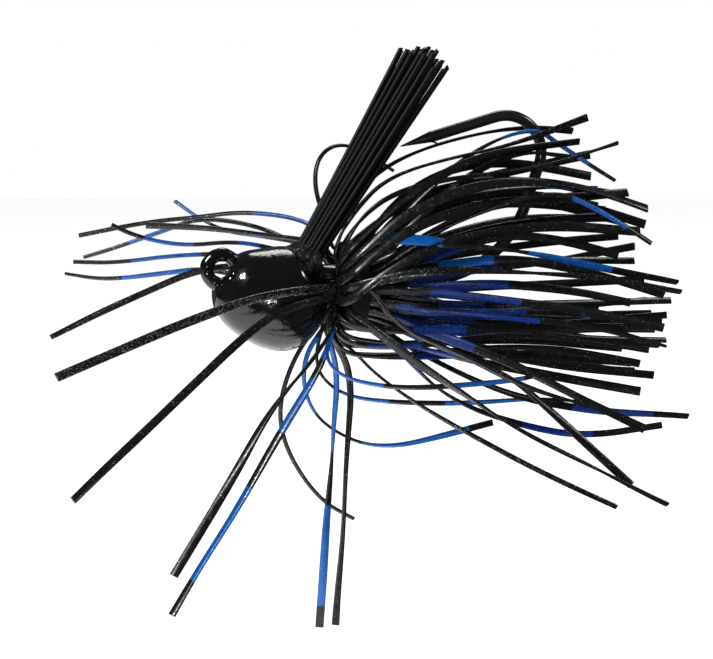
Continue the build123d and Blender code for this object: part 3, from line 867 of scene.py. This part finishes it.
def fibre_rings(foot, root_at, tip, bow, askew):
    """Rings of one fibre, straight in the socket and almost straight above it."""
    across = guard_axes()[0]
    direction = (tip - root_at).normalized()
    u = direction.cross(across).normalized()
    v = direction.cross(u)
    line = [foot, foot.lerp(root_at, 0.5), root_at]
    for k in range(1, FIBRE_STEPS + 1):
        t = k / FIBRE_STEPS
        bulge = (u * bow[0] + v * bow[1]) * math.sin(math.pi * t) * FIBRE_BOW
        line.append(root_at.lerp(tip, t) + bulge)
    rings = []
    for centre in line:
        cut = askew if centre is line[-1] else 0.0
        ring = []
        for a in turns(FIBRE_SIDES):
            rim = (u * math.cos(a) + v * math.sin(a)) * FIBRE_RADIUS
            slant = direction * (cut * math.cos(a + bow[0] * 40))
            ring.append((centre + rim + slant) * MM)
        rings.append(ring)
    return rings


def guard_half(side, name):
    chance = random.Random(11 + side)
    vertices = []
    faces = []
    for number, (sideways, fore) in enumerate(fibre_spots(side)):
        uneven = 0.55 * math.sin(2.3 * number) + 0.35 * math.sin(5.1 * number)
        length = GUARD_LENGTH - GUARD_END_SLANT * fore + uneven
        start = math.sqrt(max(PLUG_DOME_RADIUS**2 - sideways**2 - fore**2, 0.3))
        tip_across = sideways * GUARD_FAN + side * GUARD_V_OFFSET + chance.uniform(-0.12, 0.12)
        tip_fore = fore * GUARD_SPREAD + chance.uniform(-0.1, 0.1)
        bow = (chance.uniform(-0.12, 0.12), chance.uniform(-0.12, 0.12))
        foot = guard_place(sideways, fore, -SOCKET_DEPTH + 0.1)
        root_at = guard_place(sideways, fore, 0.4)
        tip = guard_place(tip_across, tip_fore, start + length)
        rings = fibre_rings(foot, root_at, tip, bow, chance.uniform(0.05, 0.2))
        faces += tube_faces(len(vertices), len(rings), FIBRE_SIDES)
        vertices += [point for ring in rings for point in ring]
    piece = bare_mesh(name + "_fibres", vertices, faces)
    smooth(piece, 50)
    piece.data.materials.append(NYLON)
    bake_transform(piece)
    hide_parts(name)


def glue_pool():
    """Set glue that fills the socket's mouth and creeps a little way up the fibres."""
    rings = []
    for k, (radius, height) in enumerate(GLUE_PROFILE):
        creep = 1.4 if 0 < k < 6 else 0.3
        ring = []
        for a in turns(GLUE_SIDES):
            lump = 0.09 * math.sin(5 * a + 1.0) + 0.06 * math.sin(11 * a + k)
            lump += 0.05 * math.sin(17 * a)
            r = radius * (1 + 0.6 * lump)
            ring.append(guard_place(r * math.cos(a), r * math.sin(a), height + lump * creep) * MM)
        rings.append(ring)
    piece = loft_rings("guard_glue_pool", rings)
    smooth(piece, 60)
    piece.data.materials.append(cured_glue())
    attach(piece, "root")
    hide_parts("guard_glue", "guard_plug")


# ---------------------------------------------------------------- firm parts


def dress(node, material):
    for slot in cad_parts[node].material_slots:
        slot.material = material


def eye_paint(material):
    """Paint that coats the line eye and runs down on to the nose in a lumpy web."""
    vertices = []
    for a in turns(PAINT_AROUND):
        web = max(0.0, math.cos(a + PAINT_WEB_ANGLE))
        thick = 0.76 + 0.14 * web**3 + 0.025 * math.sin(5 * a) + 0.02 * math.sin(9 * a + 1)
        middle = EYE_RADIUS - 0.04 + 0.1 * web**3
        for b in turns(PAINT_ACROSS):
            r = middle + thick * math.cos(b)
            y = thick * (1 + 0.25 * web**2) * math.sin(b)
            vertices.append(Vector((r * math.cos(a), y, r * math.sin(a))) * MM)
    faces = []
    for k in range(PAINT_AROUND):
        after = (k + 1) % PAINT_AROUND
        faces += quads(k * PAINT_ACROSS, after * PAINT_ACROSS, PAINT_ACROSS)
    piece = bare_mesh("line_eye_paint", vertices, faces)
    smooth(piece, 60)
    piece.data.materials.append(material)
    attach(piece, "root")


# ---------------------------------------------------------------- stage


CAMERA_AZIMUTH = -12.0
CAMERA_ELEVATION = 6.0
CAMERA_DISTANCE = 0.70
SENSOR_WIDTH = 36.0
VIEW_WIDTH = 0.0784
VIEW_CENTRE = (14.85, -6.6)  # right of and above the line eye, as the camera sees it
FLOOR_Z = -0.0425
FLOOR_RADIUS = 0.6
FLOOR_SIDES = 96
FLOOR_GLOW = 0.8
ROOM_LIGHT = 0.07
OBJECT_CENTRE = (15.0, 0.0, -5.0)
BESIDE_OBJECT = (-70.0, 30.0, -5.0)


def compass(azimuth, elevation):
    """The direction that azimuth and elevation name; azimuth 0 is the photo's side, -Y."""
    a, e = math.radians(azimuth), math.radians(elevation)
    return Vector((math.sin(a) * math.cos(e), -math.cos(a) * math.cos(e), math.sin(e)))


def add_camera():
    a = math.radians(CAMERA_AZIMUTH)
    back = compass(CAMERA_AZIMUTH, CAMERA_ELEVATION)
    right = Vector((math.cos(a), math.sin(a), 0))
    up = back.cross(right)
    aim = (right * VIEW_CENTRE[0] + up * VIEW_CENTRE[1]) * MM
    data = bpy.data.cameras.new("camera")
    data.sensor_width = SENSOR_WIDTH
    data.lens = SENSOR_WIDTH * CAMERA_DISTANCE / VIEW_WIDTH
    data.clip_start = 0.01
    camera = bpy.data.objects.new("camera", data)
    bpy.context.collection.objects.link(camera)
    camera.location = aim + back * CAMERA_DISTANCE
    camera.rotation_mode = "QUATERNION"
    camera.rotation_quaternion = (-back).to_track_quat("-Z", "Y")
    bpy.context.scene.camera = camera


def area_light(name, azimuth, elevation, distance, size, power, aim=OBJECT_CENTRE):
    place = compass(azimuth, elevation)
    data = bpy.data.lights.new(name, "AREA")
    data.shape = "DISK"
    data.size = size
    data.energy = power
    light = bpy.data.objects.new(name, data)
    bpy.context.collection.objects.link(light)
    light.location = Vector(aim) * MM + place * distance
    light.rotation_mode = "QUATERNION"
    light.rotation_quaternion = place.to_track_quat("Z", "Y")


def add_floor():
    """A round pale table, left out of the gloss so that it doesn't whiten the whole belly."""
    points = [(0.0, 0.0, FLOOR_Z)]
    for a in turns(FLOOR_SIDES):
        points.append((FLOOR_RADIUS * math.cos(a), FLOOR_RADIUS * math.sin(a), FLOOR_Z))
    faces = [(0, k + 1, (k + 1) % FLOOR_SIDES + 1) for k in range(FLOOR_SIDES)]
    floor = bare_mesh("floor", points, faces)
    m = Nodes("floor_white")
    m.drive("Base Color", m.mix(m.noise(6.0), grey(0.80), grey(0.84)))
    m.fix("Roughness", 0.95)
    m.fix("Specular IOR Level", 0.0)
    m.fix("Emission Color", (1, 1, 1, 1))
    m.fix("Emission Strength", FLOOR_GLOW)
    floor.data.materials.append(m.material)
    floor.visible_glossy = False


def add_world():
    """White behind the object; the room that lights it is much darker."""
    world = bpy.data.worlds.new("studio")
    bpy.context.scene.world = world
    world.use_nodes = True
    nodes = world.node_tree.nodes
    links = world.node_tree.links
    room = nodes["Background"]
    room.inputs["Color"].default_value = (0.9, 0.95, 1.0, 1)
    room.inputs["Strength"].default_value = ROOM_LIGHT
    backdrop = nodes.new("ShaderNodeBackground")
    backdrop.inputs["Color"].default_value = (1, 1, 1, 1)
    path = nodes.new("ShaderNodeLightPath")
    choose = nodes.new("ShaderNodeMixShader")
    links.new(path.outputs["Is Camera Ray"], choose.inputs["Fac"])
    links.new(room.outputs[0], choose.inputs[1])
    links.new(backdrop.outputs[0], choose.inputs[2])
    links.new(choose.outputs[0], nodes["World Output"].inputs["Surface"])


bpy.context.scene.view_settings.view_transform = "Standard"
add_camera()
add_world()
add_floor()
area_light("key", -60, 38, 0.5, 0.05, 1.6)
area_light("front", -18, -2, 0.85, 0.035, 0.8)
area_light("top", 165, 55, 0.45, 0.20, 0.5)
area_light("side", 75, 40, 0.6, 0.12, 0.8)
area_light("card", 0, -90, 0.036, 0.20, 0.14, aim=BESIDE_OBJECT)

SILICONE = silicone()
NYLON = nylon_fibre()
PAINT = head_paint()

dress("lead_head", PAINT)
eye_paint(PAINT)
dress("jig_hook", black_nickel())
glue_pool()
dress("skirt_collar", latex())

for layer in range(len(ROOT_RADII)):
    for slot in range(ROOTS_PER_LAYER):
        strand(layer, slot)
guard_half(-1, "guard_bristles_left")
guard_half(1, "guard_bristles_right")
